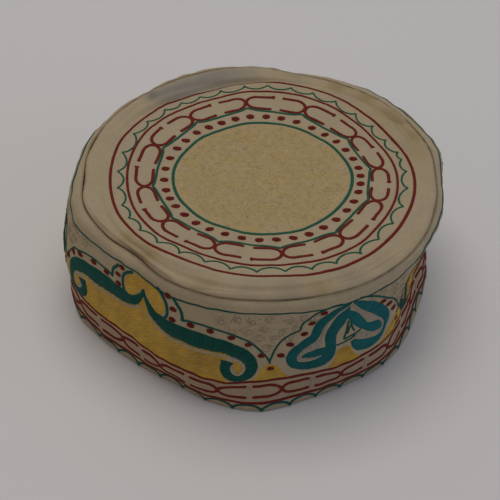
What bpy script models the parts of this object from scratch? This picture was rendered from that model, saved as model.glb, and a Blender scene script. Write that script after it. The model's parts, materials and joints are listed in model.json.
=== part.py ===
"""A songkok: a soft round cap of two sewn pieces of cotton, the flat crown and the side band.

Each piece is a wall of cloth whose section changes with the direction from the cap's axis, so it is
lofted through one closed section for each direction. The sections come from the tables below, which
hold the cap's outline and its dents in millimetres.
"""

import bmesh
import bpy
import numpy as np

MM = 0.001

# Driving sizes in millimetres
SEAM_HEIGHT = 73.0       # crown seam above the table
CLOTH = 2.0              # outer cotton, interlining and inner cotton together
SEAM_GAP = 0.3           # between crown and band where they are sewn
MIDDLE_HEIGHT = 36.0     # where the band's middle outline is taken
LOWER_HEIGHT = 15.0      # below it the band runs almost straight to the hem
HEM_FOLD = 3.0           # folded foot of the band, which stands upright
SHOULDER_CLOTH = 8.5     # cloth from the seam over the shoulder to the band's wall
SHOULDER_DROP = 3.3      # least height that it falls, where the shoulder reaches out flat
SHOULDER_SWELL = 1.3     # how far it bulges between its ends
FLAT_RADIUS = 76.0       # the crown's flat part, inside its rolled margin
CROWN_SAG = 1.2          # middle of the crown below the seam
FLAT_RISE = 1.7          # rim of the flat part above the seam

DIRECTIONS = 72          # sections round the cap
FLAT_RINGS = 6           # rings of faces on the crown's flat part
MARGIN_RINGS = 10        # rings of faces on its margin
STEPS_A_STRETCH = 2      # rings of faces between two knots of the band's section

# The band's outline, in even steps round the cap: direction in degrees from +X, then distances from
# the cap's axis at the seam, the shoulder, the middle and the hem, and how far the seam stands above
# its usual height
BAND_COLUMNS = ("direction", "seam", "shoulder", "middle", "hem", "lift")
BAND_ROWS = (
    (0, 86.5, 90.0, 84.0, 87.2, 0.0),
    (15, 87.5, 93.5, 89.0, 91.0, 0.0),
    (30, 87.0, 94.0, 93.0, 92.0, 0.0),
    (45, 87.5, 93.8, 94.0, 92.5, 0.0),
    (60, 87.0, 93.6, 94.0, 92.5, 0.0),
    (75, 87.5, 93.5, 94.5, 92.5, -0.5),
    (90, 88.5, 93.5, 95.0, 93.0, 1.5),
    (105, 88.5, 94.0, 95.5, 94.0, 2.5),
    (120, 88.5, 94.0, 95.5, 95.0, 2.6),
    (135, 89.0, 93.8, 96.5, 95.5, 1.3),
    (150, 89.5, 94.0, 98.0, 96.5, 0.4),
    (165, 89.0, 94.1, 99.0, 97.5, 0.0),
    (180, 87.5, 94.6, 99.2, 98.0, 0.0),
    (195, 88.5, 94.0, 98.4, 97.5, 0.0),
    (210, 85.5, 89.0, 92.5, 90.0, -0.5),
    (225, 82.5, 85.5, 88.0, 86.0, -0.5),
    (240, 86.5, 86.5, 89.0, 84.5, 0.0),
    (255, 88.0, 88.0, 90.5, 88.5, 0.0),
    (270, 88.0, 88.3, 89.5, 90.5, 0.0),
    (285, 88.7, 89.0, 88.0, 86.0, 0.0),
    (300, 90.0, 90.0, 88.0, 84.5, 0.0),
    (315, 90.0, 90.0, 88.0, 85.5, 0.0),
    (330, 89.0, 90.0, 81.0, 84.6, 0.0),
    (345, 87.5, 90.0, 79.5, 84.2, 0.0),
)

# The crown's folds, in even steps round the cap: the lift of the flat part's rim, the depth of the
# valley outside it and its place across the margin from 0 to 1, and the height of the soft roll that
# lies inside the seam
CROWN_COLUMNS = ("direction", "lift", "valley", "valley_place", "roll")
CROWN_ROWS = (
    (0, -0.5, 0.0, 0.35, 0.8),
    (30, 1.5, 0.8, 0.30, 0.6),
    (60, 0.8, 0.8, 0.25, 0.6),
    (90, -1.5, 2.0, 0.16, 0.4),
    (120, -2.5, 2.2, 0.14, 0.4),
    (150, -1.0, 0.8, 0.22, 0.6),
    (180, 0.5, 0.0, 0.30, 0.8),
    (210, 0.5, 0.8, 0.42, 1.0),
    (240, 1.0, 1.2, 0.48, 1.3),
    (270, 0.5, 1.2, 0.50, 1.3),
    (300, -0.3, 0.8, 0.50, 1.0),
    (330, -0.5, 0.2, 0.45, 0.8),
)
VALLEY_WIDTH = 0.20      # of the margin, to either side
ROLL_PLACE = 0.78        # crest of the roll across the margin
ROLL_WIDTH = 0.22        # of the margin, to either side

CREAM = (0.62, 0.53, 0.38)
SHARP_ANGLE = 40.0       # degrees between faces, past which an edge is shaded sharp


def clear_scene():
    for thing in list(bpy.data.objects):
        bpy.data.objects.remove(thing, do_unlink=True)


def smooth_through(values, places, closed):
    """The Catmull-Rom curve through values at 0, 1, 2 and so on, read at the given places."""
    count = len(values)
    if closed:
        start = np.floor(places).astype(int)
        picks = [values[(start + step) % count] for step in (-1, 0, 1, 2)]
    else:
        start = np.clip(np.floor(places).astype(int), 0, count - 2)
        before = 2 * values[:1] - values[1:2]
        after = 2 * values[-1:] - values[-2:-1]
        longer = np.concatenate([before, values, after])
        picks = [longer[start + step] for step in (0, 1, 2, 3)]
    part = (places - start).reshape((-1,) + (1,) * (values.ndim - 1))
    one = picks[2] - picks[0]
    two = 2 * picks[0] - 5 * picks[1] + 4 * picks[2] - picks[3]
    three = 3 * picks[1] - picks[0] - 3 * picks[2] + picks[3]
    return picks[1] + 0.5 * part * (one + part * (two + part * three))


def read_column(rows, columns, name, directions):
    """One column of a table, smoothed round the cap and read at the given directions."""
    values = np.array([row[columns.index(name)] for row in rows], float)
    return smooth_through(values, directions * len(rows) / 360.0, closed=True)


def bell(place, middle, width):
    """A smooth hump of height 1 at middle that falls to 0 at width on either side."""
    reach = np.clip(np.abs(place - middle) / width, 0.0, 1.0)
    return (1.0 - reach**2) ** 2


def between(start, end, share):
    return start + (end - start) * share


def band_outer_line(directions):
    """Outer side of the band from seam to hem: distance from the axis and height."""
    seam, shoulder, middle, hem, lift = (
        read_column(BAND_ROWS, BAND_COLUMNS, name, directions) for name in BAND_COLUMNS[1:]
    )
    seam_top = SEAM_HEIGHT + lift
    reach = shoulder - seam
    drop = np.sqrt(np.maximum(SHOULDER_CLOTH**2 - reach**2, SHOULDER_DROP**2))
    shoulder_top = seam_top - drop
    swell = SHOULDER_SWELL / SHOULDER_CLOTH
    knots = (
        (seam, seam_top),
        (between(seam, shoulder, 0.45) + swell * drop, seam_top - 0.45 * drop + swell * reach),
        (shoulder, shoulder_top),
        (between(shoulder, middle, 0.55), between(shoulder_top, MIDDLE_HEIGHT, 0.5)),
        (middle, MIDDLE_HEIGHT),
        (between(middle, hem, 0.4), LOWER_HEIGHT),
        (hem, HEM_FOLD),
    )
    knots = np.stack([np.stack(np.broadcast_arrays(*knot), axis=-1) for knot in knots])
    places = np.linspace(0, len(knots) - 1, (len(knots) - 1) * STEPS_A_STRETCH + 1)
    foot = np.stack([hem, np.zeros_like(hem)], axis=-1)
    return np.concatenate([smooth_through(knots, places, closed=False), foot[None]])


def crown_outer_line(directions):
    """Outer side of the crown from its middle to the seam: distance from the axis and height."""
    lift, valley, valley_place, roll = (
        read_column(CROWN_ROWS, CROWN_COLUMNS, name, directions) for name in CROWN_COLUMNS[1:]
    )
    seam = read_column(BAND_ROWS, BAND_COLUMNS, "seam", directions)
    seam_lift = read_column(BAND_ROWS, BAND_COLUMNS, "lift", directions)

    inside = np.linspace(0.0, 1.0, FLAT_RINGS + 1)[:, None]
    flat_distance = FLAT_RADIUS * inside * np.ones_like(seam)
    flat_height = -CROWN_SAG + (FLAT_RISE + CROWN_SAG + lift) * inside**3

    across = np.linspace(0.0, 1.0, MARGIN_RINGS + 1)[1:, None]
    margin_distance = FLAT_RADIUS + (seam - FLAT_RADIUS) * across
    margin_height = (
        (FLAT_RISE + lift) * (1.0 - across)
        + seam_lift * across
        - valley * bell(across, valley_place, VALLEY_WIDTH)
        + roll * bell(across, ROLL_PLACE, ROLL_WIDTH)
    )
    distance = np.concatenate([flat_distance, margin_distance])
    height = SEAM_HEIGHT + np.concatenate([flat_height, margin_height])
    return np.stack([distance, height], axis=-1)


def unit(vectors):
    return vectors / np.linalg.norm(vectors, axis=-1, keepdims=True)


def inward(runs):
    """Turns directions along the cloth, away from the crown's middle, into the cap's inside."""
    return np.stack([runs[..., 1], -runs[..., 0]], axis=-1)


def inner_line(outer, seam_end, neighbour_run):
    """The cloth's inner side, one thickness inside the outer line, mitred at its seam end.

    The seam end is 0 for the band and -1 for the crown, whose line starts level at the cap's axis.
    """
    runs = unit(np.gradient(outer, axis=0))
    if seam_end == -1:
        runs[0] = (1.0, 0.0)
    into = inward(runs)
    own = into[seam_end]
    mitre = unit(own + inward(neighbour_run))
    stretch = 1.0 / np.sum(own * mitre, axis=-1, keepdims=True)
    into[seam_end] = mitre * stretch
    return outer + CLOTH * into


def draw_back(line, end):
    """Moves the seam end of a line back along the cloth, half the gap at a right-angled mitre."""
    next_to_end = 1 if end == 0 else -2
    line[end] += 0.5 * SEAM_GAP * np.sqrt(2.0) * unit(line[next_to_end] - line[end])
    return line


def stand_up(lines, directions, centre):
    """Points in space, in metres, of section lines that hold distance and height."""
    turn = np.radians(directions)
    across = lines[..., 0] * np.cos(turn) - centre[0]
    along = lines[..., 0] * np.sin(turn) - centre[1]
    return MM * np.stack([across, along, lines[..., 1]], axis=-1)


def plan_centre(outer, directions):
    """Middle of the cap's outline as seen from above, measured from its axis."""
    turn = np.radians(directions)
    across = outer[..., 0] * np.cos(turn)
    along = outer[..., 0] * np.sin(turn)
    return np.array([across.max() + across.min(), along.max() + along.min()]) / 2


def loft(name, sections, closed_section, material):
    """A mesh through sections that stand round the cap's axis: points by directions by x, y, z."""
    points, directions = sections.shape[:2]
    number = np.arange(points * directions).reshape(points, directions)
    if closed_section:
        number = np.concatenate([number, number[:1]])
    after = np.roll(number, -1, axis=1)
    quads = np.stack([number[:-1], number[1:], after[1:], after[:-1]], axis=-1).reshape(-1, 4)
    mesh = bpy.data.meshes.new(name)
    mesh.from_pydata(sections.reshape(-1, 3).tolist(), [], quads.tolist())
    shape = bmesh.new()
    shape.from_mesh(mesh)
    bmesh.ops.remove_doubles(shape, verts=shape.verts, dist=1e-6)
    shape.to_mesh(mesh)
    shape.free()
    mesh.shade_smooth()
    mesh.set_sharp_from_angle(angle=np.radians(SHARP_ANGLE))
    mesh.materials.append(material)
    piece = bpy.data.objects.new(name, mesh)
    bpy.data.collections["Songkok"].objects.link(piece)
    return piece


def cotton(name, colour):
    material = bpy.data.materials.new(name)
    material.use_nodes = True
    shader = material.node_tree.nodes["Principled BSDF"]
    shader.inputs["Base Color"].default_value = (*colour, 1.0)
    shader.inputs["Roughness"].default_value = 0.9
    shader.inputs["Metallic"].default_value = 0.0
    return material


def build_cap():
    bpy.context.scene.collection.children.link(bpy.data.collections.new("Songkok"))
    directions = np.arange(DIRECTIONS) * 360.0 / DIRECTIONS
    crown_outer = crown_outer_line(directions)
    band_outer = band_outer_line(directions)
    crown_run = unit(crown_outer[-1] - crown_outer[-2])
    band_run = unit(band_outer[1] - band_outer[0])
    centre = plan_centre(band_outer, directions)

    crown_inner = draw_back(inner_line(crown_outer, -1, band_run), -1)
    crown_outer = draw_back(crown_outer, -1)
    crown = np.concatenate([crown_outer, crown_inner[::-1]])
    loft("crown_panel", stand_up(crown, directions, centre), False, cotton("crown_cotton", CREAM))

    band_inner = draw_back(inner_line(band_outer, 0, crown_run), 0)
    band_outer = draw_back(band_outer, 0)
    band = np.concatenate([band_outer, band_inner[::-1]])
    loft("side_band", stand_up(band, directions, centre), True, cotton("band_cotton", CREAM))


clear_scene()
build_cap()
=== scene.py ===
"""Looks of the songkok, a soft round cap of cream cotton with red, teal and gold embroidery.

Lengths on the cap are in millimetres until a mesh is made. A place on the band is a direction round
the cap's axis, in degrees from +X, and a distance of cloth down from the crown seam. A place on the
crown is a direction and a distance from the axis.
"""

import json

import bmesh
import bpy
import numpy as np
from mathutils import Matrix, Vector

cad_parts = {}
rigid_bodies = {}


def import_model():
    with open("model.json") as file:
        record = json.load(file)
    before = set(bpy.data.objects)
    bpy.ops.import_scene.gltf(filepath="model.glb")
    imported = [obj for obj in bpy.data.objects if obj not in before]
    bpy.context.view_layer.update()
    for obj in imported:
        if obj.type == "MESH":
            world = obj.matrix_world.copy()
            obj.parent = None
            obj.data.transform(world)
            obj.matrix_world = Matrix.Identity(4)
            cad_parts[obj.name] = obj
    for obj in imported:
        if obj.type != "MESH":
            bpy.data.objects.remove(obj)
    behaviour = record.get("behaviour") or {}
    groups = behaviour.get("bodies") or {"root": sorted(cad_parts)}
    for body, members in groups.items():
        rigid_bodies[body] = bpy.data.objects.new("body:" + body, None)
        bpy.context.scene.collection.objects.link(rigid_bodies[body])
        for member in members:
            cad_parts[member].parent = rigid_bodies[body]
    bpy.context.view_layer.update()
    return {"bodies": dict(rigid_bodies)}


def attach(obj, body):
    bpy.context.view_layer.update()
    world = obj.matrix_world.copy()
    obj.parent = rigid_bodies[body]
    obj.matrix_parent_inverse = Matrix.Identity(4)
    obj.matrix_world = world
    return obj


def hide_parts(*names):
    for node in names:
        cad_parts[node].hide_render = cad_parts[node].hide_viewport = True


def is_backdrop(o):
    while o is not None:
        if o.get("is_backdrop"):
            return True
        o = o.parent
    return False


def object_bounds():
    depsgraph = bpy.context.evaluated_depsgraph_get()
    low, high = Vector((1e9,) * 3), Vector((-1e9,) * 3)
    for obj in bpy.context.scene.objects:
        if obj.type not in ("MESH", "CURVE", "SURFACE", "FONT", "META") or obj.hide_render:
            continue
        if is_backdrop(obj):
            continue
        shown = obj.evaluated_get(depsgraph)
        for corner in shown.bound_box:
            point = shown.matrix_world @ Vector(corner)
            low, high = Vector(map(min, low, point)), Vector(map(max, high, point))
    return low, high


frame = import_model()
body = next(iter(frame["bodies"]))
MM = 0.001


# The side band is one strip of cream cotton over a soft interlining, sewn into a ring and folded up
# at the hem. Wear has pushed it out of round, so each direction has its own section, which repeats
# the solid's. The last column is how far the stitched pattern lies below its even place.
BAND_COLUMNS = ("direction", "seam", "shoulder", "middle", "hem", "lift", "slip")
BAND_ROWS = (
    (0, 86.5, 90.0, 84.0, 87.2, 0.0, 0.0),
    (15, 87.5, 93.5, 89.0, 91.0, 0.0, 0.6),
    (30, 87.0, 94.0, 93.0, 92.0, 0.0, -0.4),
    (45, 87.5, 93.8, 94.0, 92.5, 0.0, -0.8),
    (60, 87.0, 93.6, 94.0, 92.5, 0.0, 0.3),
    (75, 87.5, 93.5, 94.5, 92.5, -0.5, 0.9),
    (90, 88.5, 93.5, 95.0, 93.0, 1.5, 0.4),
    (105, 88.5, 94.0, 95.5, 94.0, 2.5, -0.6),
    (120, 88.5, 94.0, 95.5, 95.0, 2.6, -0.2),
    (135, 89.0, 93.8, 96.5, 95.5, 1.3, 0.7),
    (150, 89.5, 94.0, 98.0, 96.5, 0.4, 0.9),
    (165, 89.0, 94.1, 99.0, 97.5, 0.0, 0.3),
    (180, 87.5, 94.6, 99.2, 98.0, 0.0, 0.0),
    (195, 88.5, 94.0, 98.4, 97.5, 0.0, -1.0),
    (210, 85.5, 89.0, 92.5, 90.0, -0.5, -1.7),
    (225, 82.5, 85.5, 88.0, 86.0, -0.5, -0.5),
    (240, 86.5, 86.5, 89.0, 84.5, 0.0, 1.9),
    (255, 88.0, 88.0, 90.5, 88.5, 0.0, 1.4),
    (270, 88.0, 88.3, 89.5, 90.5, 0.0, -1.2),
    (285, 88.7, 89.0, 88.0, 86.0, 0.0, -0.6),
    (300, 90.0, 90.0, 88.0, 84.5, 0.0, 0.2),
    (315, 90.0, 90.0, 88.0, 85.5, 0.0, -1.8),
    (330, 89.0, 90.0, 81.0, 84.6, 0.0, -1.5),
    (345, 87.5, 90.0, 79.5, 84.2, 0.0, -1.0),
)
SEAM_HEIGHT = 73.0
MIDDLE_HEIGHT = 36.0
LOWER_HEIGHT = 15.0
HEM_FOLD = 3.0
SHOULDER_CLOTH = 8.5
SHOULDER_DROP = 3.3
SHOULDER_SWELL = 1.3
CLOTH = 2.0              # outer cotton, interlining and inner cotton
SEAM_TUCK = 0.7          # how deep the cloth's edge rolls in at the seam, and over how much cloth
CREAM = (0.475, 0.375, 0.235)
# brown of stains, of painted shade at the seam and in the crown's creases, and of the band's darkening
# towards the hem
SOIL_AND_SHADE = (0.13, 0.085, 0.045)
# bluish grey of painted shade in the crown's folds, and of wear
SHADE_AND_WEAR_GREY = (0.20, 0.21, 0.225)
BLED = (0.36, 0.16, 0.12)        # cotton that the red dye has run into
WORKED = (0.50, 0.355, 0.135)   # cotton worked all over in pale gold thread, and the yellow of the crown's marks
MM_A_DEGREE = 1.55       # of the band's pattern, round the cap
AROUND = 360.0 * MM_A_DEGREE
TURNS = 1440             # columns of the reading grids round the cap
STEP = 0.25              # their rows, in millimetres of cloth
turn_directions = np.arange(TURNS) * 360.0 / TURNS


def catmull_rom(a, b, c, d, part):
    """The Catmull-Rom curve between b and c, at a part of the way from b."""
    return b + 0.5 * part * (c - a + part * (2 * a - 5 * b + 4 * c - d + part * (3 * b - a - 3 * c + d)))


def smooth_row(values, places):
    """The Catmull-Rom curve through a closed row of values, read at places counted in rows."""
    start = np.floor(places).astype(int)
    part = places - start
    return catmull_rom(*(values[(start + step) % len(values)] for step in (-1, 0, 1, 2)), part)


def column(rows, columns, name, directions):
    """One column of a table of even steps round the cap, read smoothly at the given directions."""
    values = np.array([row[columns.index(name)] for row in rows], float)
    return smooth_row(values, directions * len(rows) / 360.0)


def smooth_line(knots, per_stretch):
    """The open Catmull-Rom curve through knots (any number of columns), per_stretch points each."""
    knots = np.asarray(knots, float)
    ends = np.concatenate([2 * knots[:1] - knots[1:2], knots, 2 * knots[-1:] - knots[-2:-1]])
    places = np.linspace(0, len(knots) - 1, (len(knots) - 1) * per_stretch + 1)
    start = np.minimum(places.astype(int), len(knots) - 2)
    part = (places - start).reshape((-1,) + (1,) * (knots.ndim - 1))
    return catmull_rom(*(ends[start + step] for step in range(4)), part)


def soft_waves(x, y, size, seed, repeat=1e6):
    """Soft unevenness of about one unit: 18 cosine waves of mixed headings, lengths near size.

    Each wave fits into the repeat along x a whole number of times, so that cloth which goes round
    the cap meets itself.
    """
    draw = np.random.default_rng(seed)
    total = np.zeros(np.broadcast(x, y).shape)
    for wave in range(18):
        heading = draw.uniform(0, np.pi)
        length = size * draw.uniform(0.6, 1.8)
        waves_x = np.round(repeat * np.cos(heading) / length) / repeat
        phase = draw.uniform(0, 2 * np.pi)
        total += np.cos(2 * np.pi * (x * waves_x + y * np.sin(heading) / length) + phase)
    return total / 3.0


def bell(place, middle, width):
    """A smooth hump of height 1 at middle that falls to 0 at width on either side."""
    reach = np.clip(np.abs(place - middle) / width, 0.0, 1.0)
    return (1.0 - reach**2) ** 2


def band_line(directions):
    """Outer line of the band from seam to hem: distance from the axis and height, in 97 stations."""
    seam, shoulder, middle, hem, lift = (
        column(BAND_ROWS, BAND_COLUMNS, name, directions) for name in BAND_COLUMNS[1:6]
    )
    top = SEAM_HEIGHT + lift
    reach = shoulder - seam
    drop = np.sqrt(np.maximum(SHOULDER_CLOTH**2 - reach**2, SHOULDER_DROP**2))
    swell = SHOULDER_SWELL / SHOULDER_CLOTH
    knots = (
        (seam, top),
        (seam + 0.45 * reach + swell * drop, top - 0.45 * drop + swell * reach),
        (shoulder, top - drop),
        (0.45 * shoulder + 0.55 * middle, 0.5 * (top - drop + MIDDLE_HEIGHT)),
        (middle, MIDDLE_HEIGHT),
        (0.6 * middle + 0.4 * hem, LOWER_HEIGHT),
        (hem, HEM_FOLD),
    )
    knots = np.stack([np.stack(np.broadcast_arrays(*knot), axis=-1) for knot in knots])
    foot = np.stack([hem, np.zeros_like(hem)], axis=-1)
    return np.concatenate([smooth_line(knots, 16), foot[None]])


def turned(distance, height, directions):
    """Points in space of a distance from the axis and a height at each direction."""
    turn = np.radians(directions)
    return np.stack(np.broadcast_arrays(distance * np.cos(turn), distance * np.sin(turn), height), -1)


def polar(directions, distance):
    """Plan points at directions and distances from the axis, as rows of x and y."""
    turn = np.radians(directions)
    return np.stack(np.broadcast_arrays(distance * np.cos(turn), distance * np.sin(turn)), axis=-1)


def shares(*stretches):
    """Stations from 0 to 1, out of stretches (start, end, count) that meet at their ends."""
    places = np.unique(np.concatenate([np.linspace(*stretch) for stretch in stretches]))
    return places / places[-1]


def grid_normals(points):
    """Outward unit normals of a grid of points that closes round the cap."""
    down = np.gradient(points, axis=0)
    round_cap = np.roll(points, -1, axis=1) - np.roll(points, 1, axis=1)
    normals = np.cross(down, round_cap)
    return normals / np.maximum(np.linalg.norm(normals, axis=-1, keepdims=True), 1e-9)


def read_grid(grid, rows, directions):
    """Bilinear reading of a grid at rows (counted) and directions, which wrap round the cap."""
    rows, turns = np.broadcast_arrays(np.asarray(rows, float), directions * TURNS / 360.0)
    row = np.clip(np.floor(rows).astype(int), 0, len(grid) - 2)
    turn = np.floor(turns).astype(int)
    down, side = (rows - row)[..., None], (turns - turn)[..., None]
    turn, after = turn % TURNS, (turn + 1) % TURNS
    upper = grid[row, turn] * (1 - side) + grid[row, after] * side
    lower = grid[row + 1, turn] * (1 - side) + grid[row + 1, after] * side
    return upper * (1 - down) + lower * down


line = band_line(turn_directions)
run = np.cumsum(np.linalg.norm(np.diff(line, axis=0), axis=-1), axis=0)
run = np.concatenate([np.zeros((1, TURNS)), run])
band_length = run[-1]
depths = np.arange(0.0, run.max() + STEP, STEP)
after = np.clip(np.sum(run[None] <= depths[:, None, None], axis=1), 1, len(run) - 1)
before_run, after_run = (np.take_along_axis(run, pick, 0) for pick in (after - 1, after))
share = ((depths[:, None] - before_run) / (after_run - before_run))[..., None]
section = (1 - share) * np.take_along_axis(line, (after - 1)[..., None], 0)
section = section + share * np.take_along_axis(line, after[..., None], 0)

# The cloth's own unevenness: broad softness, small crumples, gathers under the seam and a wavy hem
BAND_GATHERS = 71
down, around = depths[:, None], turn_directions[None] * MM_A_DEGREE
rumple = 0.30 * soft_waves(around, down, 34.0, 3, AROUND) + 0.13 * soft_waves(around, down, 9.0, 4, AROUND)
turn = np.radians(turn_directions[None])
rumple += 0.16 * np.exp(-down / 3.5) * np.cos(BAND_GATHERS * turn + 2.0 * np.sin(5 * turn))
rumple *= np.clip((band_length[None] - down) / 6.0, 0.0, 1.0) * np.clip(down / 1.5, 0.25, 1.0)
tuck = SEAM_TUCK * np.clip(1.0 - down / SEAM_TUCK, 0.0, 1.0) ** 2
band_grid = turned(section[..., 0], section[..., 1], turn_directions)
band_grid = band_grid + (rumple - tuck)[..., None] * grid_normals(band_grid)
band_normals = grid_normals(band_grid)
edge = band_grid[..., :2].reshape(-1, 2)
AXIS = -0.5 * (edge.max(axis=0) + edge.min(axis=0))


def on_band(directions, cloth, lift=0.0):
    """Points on the band's cloth, lifted along its normal, at directions and distances of cloth."""
    lift = np.asarray(lift, float)[..., None]
    rows = cloth / STEP
    return read_grid(band_grid, rows, directions) + lift * read_grid(band_normals, rows, directions)


def length_at(directions):
    """Length of the band's cloth from the seam to the hem at directions."""
    return read_grid(band_length[None, :, None].repeat(2, axis=0), 0.0, directions)[..., 0]


def made_piece(name, points, faces, coords, material, values, replaced=None):
    """A mesh object from points in millimetres about the axis, quads, and a UV pair for each corner.

    The faces turn outwards: if the closed mesh has a volume below nothing, all are reversed. Values
    are point attributes by name.
    """
    a, b, c, d = (points[faces[:, corner]] for corner in range(4))
    volume = np.sum(np.cross(a, b) * c) + np.sum(np.cross(a, c) * d)
    if volume < 0:
        faces, coords = faces[:, ::-1], coords[:, ::-1]
    mesh = bpy.data.meshes.new(name)
    placed = MM * (points + np.array([AXIS[0], AXIS[1], 0.0]))
    mesh.from_pydata(placed.tolist(), [], faces.tolist())
    sheet = mesh.uv_layers.new(name="cloth")
    sheet.data.foreach_set("uv", coords.astype(np.float32).ravel())
    for value, amounts in values.items():
        mesh.attributes.new(value, "FLOAT", "POINT").data.foreach_set("value", amounts.ravel())
    shape = bmesh.new()
    shape.from_mesh(mesh)
    bmesh.ops.remove_doubles(shape, verts=shape.verts, dist=1e-7)
    shape.to_mesh(mesh)
    shape.free()
    mesh.shade_smooth()
    mesh.materials.append(material)
    piece = bpy.data.objects.new(name, mesh)
    bpy.context.scene.collection.objects.link(piece)
    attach(piece, body)
    if replaced:
        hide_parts(replaced)


def shell_faces(rows, turns, closed_section):
    """Quads of a grid that closes round the cap, and for each corner its row and unwrapped turn."""
    row, turn = np.divmod(np.arange((rows if closed_section else rows - 1) * turns), turns)
    corner_rows = np.stack([row, row + 1, row + 1, row], axis=1)
    corner_turns = np.stack([turn, turn, turn + 1, turn + 1], axis=1)
    faces = (corner_rows % rows) * turns + corner_turns % turns
    return faces, corner_rows % rows, corner_turns


def link(tree, *pairs):
    """Joins sockets of a node tree, each pair from and to."""
    for source, target in pairs:
        tree.links.new(source, target)


def node(tree, kind, settings=None, inputs=None):
    """A node with its settings and the values of its named or numbered sockets."""
    made = tree.nodes.new(kind)
    for key, value in (settings or {}).items():
        setattr(made, key, value)
    for key, value in (inputs or {}).items():
        made.inputs[key].default_value = value
    return made


def reckon(tree, operation, first, second):
    """A Math node on two sockets or numbers, as its output."""
    made = node(tree, "ShaderNodeMath", {"operation": operation})
    for place, value in enumerate((first, second)):
        if isinstance(value, (int, float)):
            made.inputs[place].default_value = value
        else:
            tree.links.new(value, made.inputs[place])
    return made.outputs[0]


def blend_colour(tree, kind, share, first, second):
    """A colour Mix node of the given kind on sockets or values, as its output."""
    made = node(tree, "ShaderNodeMix", {"data_type": "RGBA", "blend_type": kind})
    for place, value in ((0, share), (6, first), (7, second)):
        if isinstance(value, bpy.types.NodeSocket):
            tree.links.new(value, made.inputs[place])
        else:
            made.inputs[place].default_value = value
    return made.outputs[2]


def shaded(tree, colour, light):
    """A colour times a number, as an output."""
    grey = node(tree, "ShaderNodeCombineXYZ")
    link(tree, *((light, socket) for socket in grey.inputs))
    return blend_colour(tree, "MULTIPLY", 1.0, colour, grey.outputs[0])


def new_group(name, taken, given):
    """A node group with its sockets, each a name and a kind, and its two end nodes."""
    tree = bpy.data.node_groups.new(name, "ShaderNodeTree")
    for way, sockets in (("INPUT", taken), ("OUTPUT", given)):
        for socket, kind in sockets:
            tree.interface.new_socket(socket, in_out=way, socket_type="NodeSocket" + kind)
    return tree, tree.nodes.new("NodeGroupInput"), tree.nodes.new("NodeGroupOutput")


def weave_group():
    """Plain weave on a UV map in centimetres: over and under as sin u times sin v, with slubs.

    It puts out the cloth's colour, mottled as hand-washed cotton is, and the height of its threads.
    """
    tree, given, result = new_group(
        "plain weave",
        (("Cloth", "Vector"), ("Colour", "Color"), ("Threads a cm", "Float"), ("Mottle", "Float")),
        (("Colour", "Color"), ("Height", "Float")))
    parts = node(tree, "ShaderNodeSeparateXYZ")
    slub = node(tree, "ShaderNodeTexNoise", inputs={"Scale": 9.0, "Detail": 2.0})
    grain = node(tree, "ShaderNodeTexNoise", inputs={"Scale": 5.0, "Detail": 3.0, "Roughness": 0.65})
    patch = node(tree, "ShaderNodeTexNoise", inputs={"Scale": 0.55, "Detail": 3.0, "Roughness": 0.55})
    for reader in (parts.inputs[0], slub.inputs["Vector"], grain.inputs["Vector"], patch.inputs["Vector"]):
        link(tree, (given.outputs["Cloth"], reader))
    turns = reckon(tree, "MULTIPLY", given.outputs["Threads a cm"], np.pi)
    warp, weft = (
        reckon(tree, "SINE", reckon(tree, "MULTIPLY", axis, turns), 0.0) for axis in parts.outputs[:2]
    )
    over = reckon(tree, "MULTIPLY", warp, weft)
    height = reckon(tree, "ADD", over, reckon(tree, "MULTIPLY", slub.outputs["Fac"], 1.4))
    speckle = reckon(tree, "SUBTRACT", grain.outputs["Fac"], 0.5)
    cloud = reckon(tree, "SUBTRACT", patch.outputs["Fac"], 0.5)
    both = reckon(tree, "ADD", reckon(tree, "MULTIPLY", speckle, 1.1), reckon(tree, "MULTIPLY", cloud, 1.3))
    both = reckon(tree, "ADD", both, reckon(tree, "MULTIPLY", over, 0.10))
    light = reckon(tree, "ADD", 1.0, reckon(tree, "MULTIPLY", both, given.outputs["Mottle"]))
    link(tree, (shaded(tree, given.outputs["Colour"], light), result.inputs["Colour"]),
         (height, result.inputs["Height"]))
    return tree


weave = weave_group()


def patterned(name, group, values, strength, relief, roughness, gloss):
    """A material that a pattern group on the cloth's UV map embosses, relief metres deep; with it
    come its tree, its shader and the group's node."""
    material = bpy.data.materials.new(name)
    material.use_nodes = True
    tree = material.node_tree
    shader = tree.nodes["Principled BSDF"]
    shader.inputs["Roughness"].default_value = roughness
    shader.inputs["Specular IOR Level"].default_value = gloss
    cloth = node(tree, "ShaderNodeUVMap", {"uv_map": "cloth"})
    pattern = node(tree, "ShaderNodeGroup", {"node_tree": group}, values)
    bump = node(tree, "ShaderNodeBump", inputs={"Strength": strength, "Distance": relief})
    link(tree, (cloth.outputs[0], pattern.inputs[0]), (pattern.outputs["Height"], bump.inputs["Height"]),
         (bump.outputs[0], shader.inputs["Normal"]))
    return material, tree, shader, pattern


def cotton(name):
    """Woven cotton: colour and thread height from the weave, then mixed by point attributes: yellower
    where the cloth is closely sewn in gold and under the crown's marks, pink where dye has run, and
    greyer and browner where painted shade darkens it and where it is stained and worn."""
    material, tree, shader, pattern = patterned(
        name, weave, {"Colour": (*CREAM, 1.0), "Threads a cm": 22.0, "Mottle": 0.22}, 0.6, 0.00012, 0.92, 0.2)
    colour = pattern.outputs["Colour"]
    for value, tone in (("worked_stains_and_shade", WORKED), ("bled", BLED), ("wear_and_shade", SHADE_AND_WEAR_GREY), ("soil_and_shade", SOIL_AND_SHADE)):
        amount = node(tree, "ShaderNodeAttribute", {"attribute_name": value})
        colour = blend_colour(tree, "MIX", amount.outputs["Fac"], colour, (*tone, 1.0))
    link(tree, (colour, shader.inputs["Base Color"]))
    return material


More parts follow.
